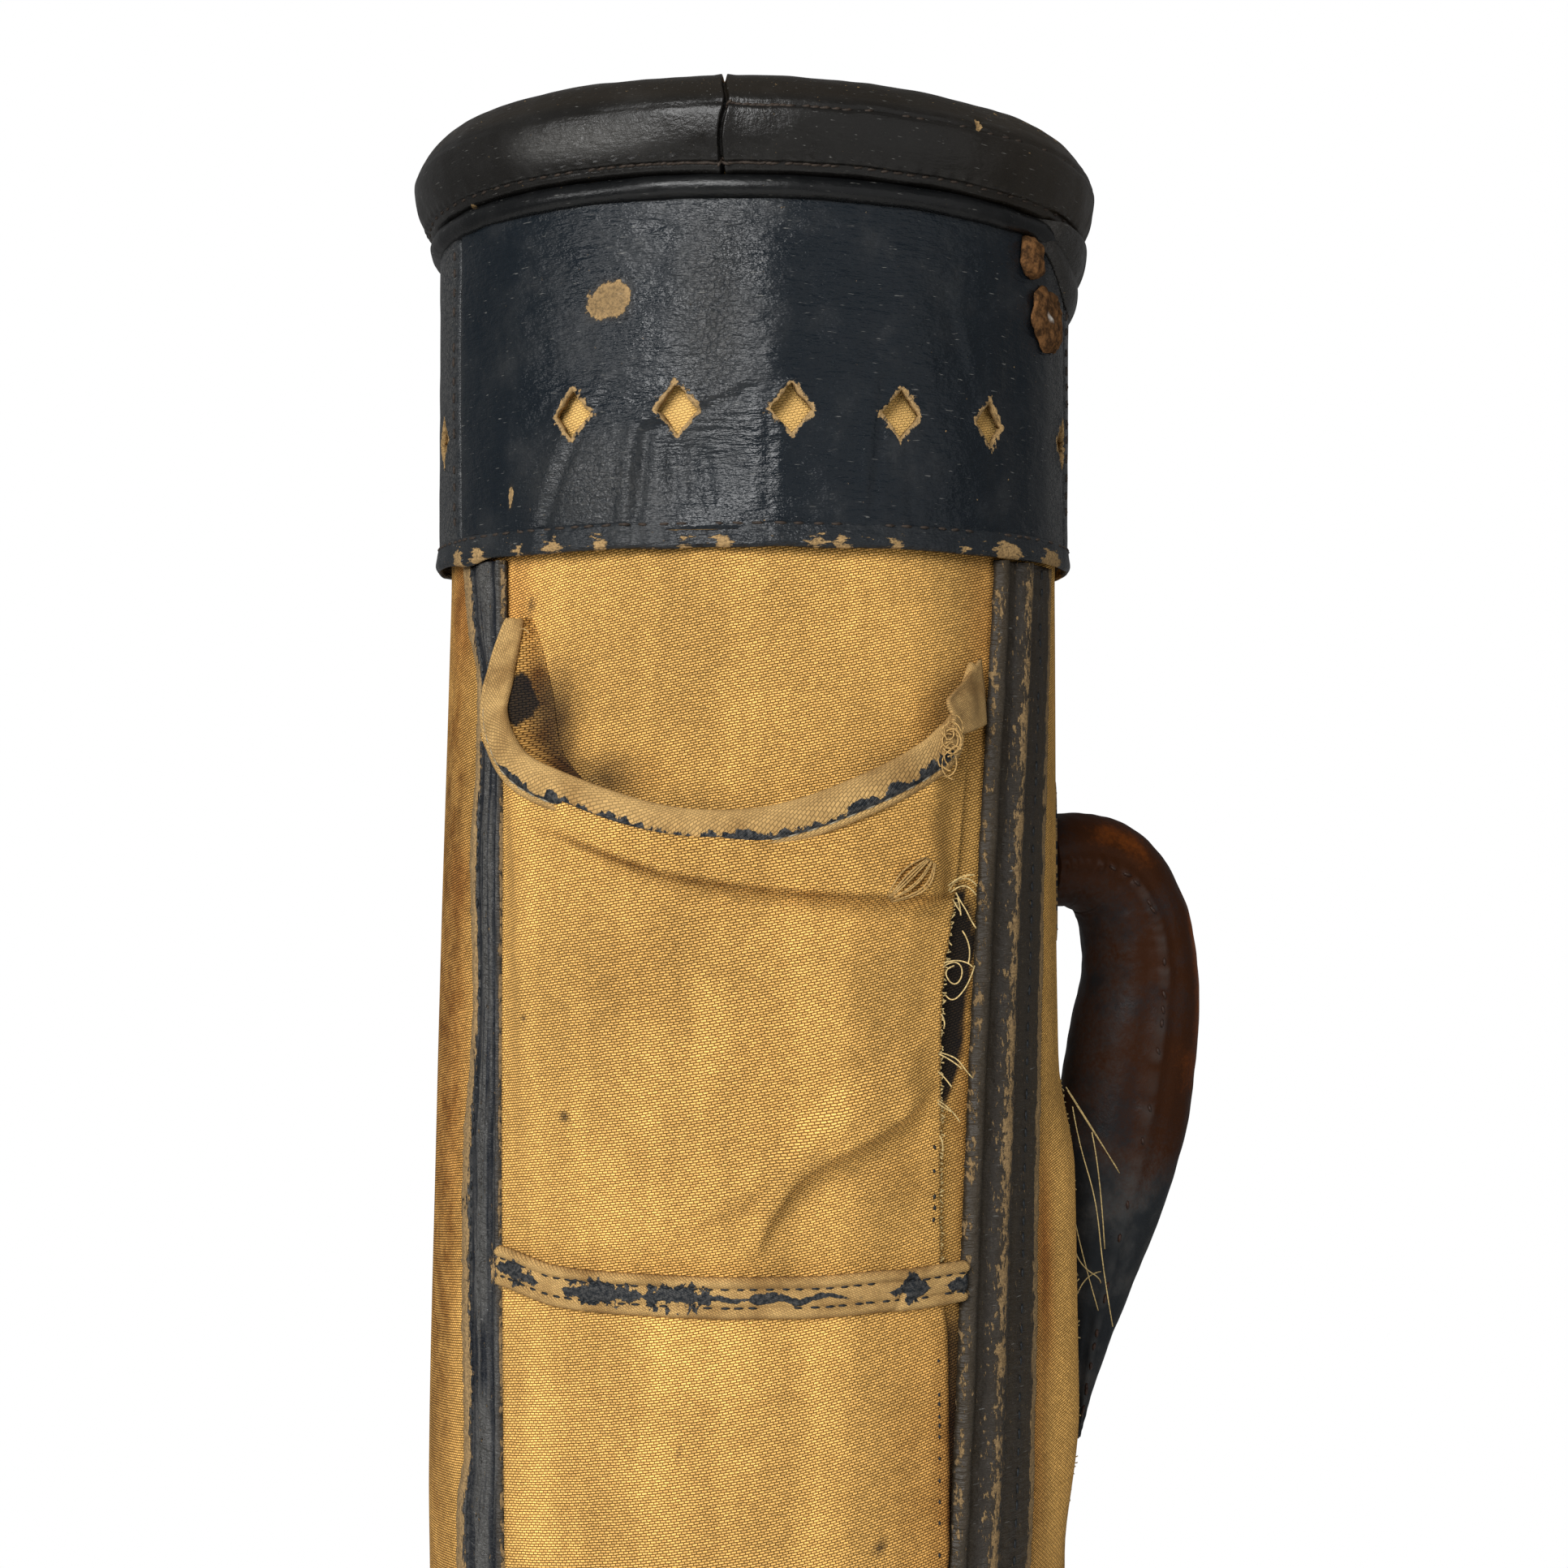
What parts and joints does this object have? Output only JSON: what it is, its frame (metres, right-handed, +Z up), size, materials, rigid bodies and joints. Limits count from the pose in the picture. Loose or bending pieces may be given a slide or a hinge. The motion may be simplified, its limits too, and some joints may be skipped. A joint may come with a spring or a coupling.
{
  "type": "golf bag",
  "caption": "Old round golf bag of ochre canvas with a pierced dark leather collar, padded rim, seam strips, a slack ball pocket in front and a padded leather carrying handle.",
  "frame": {"origin": "middle of the underside of the base, where the bag's upright axis meets the floor", "axes": "+Z up along the bag; the pocket faces -Y; the carrying handle is on the +X side"},
  "size_m": [0.1993, 0.1699, 0.8646],
  "materials": {
    "canvas": "worn matt weave",
    "dark_leather": "worn semi-gloss",
    "brown_leather": "worn semi-gloss",
    "rusted_steel": "rusted"
  },
  "bodies": {
    "root": {"front_panel": "canvas", "back_panel": "canvas", "strip_left": "dark_leather", "strip_right": "dark_leather", "pocket_panel": "canvas", "pocket_binding": "canvas", "pocket_band": "dark_leather", "lower_panel": "canvas", "collar_front": "dark_leather", "collar_back": "dark_leather", "collar_hem": "dark_leather", "rim_roll": "dark_leather", "rim_piping": "dark_leather", "rust_plate": "rusted_steel", "rust_rivet": "rusted_steel", "handle": "brown_leather", "handle_tab_top": "dark_leather", "handle_tab_bottom": "dark_leather", "base_cuff": "dark_leather", "base_disc": "dark_leather"}
  },
  "joints": []
}
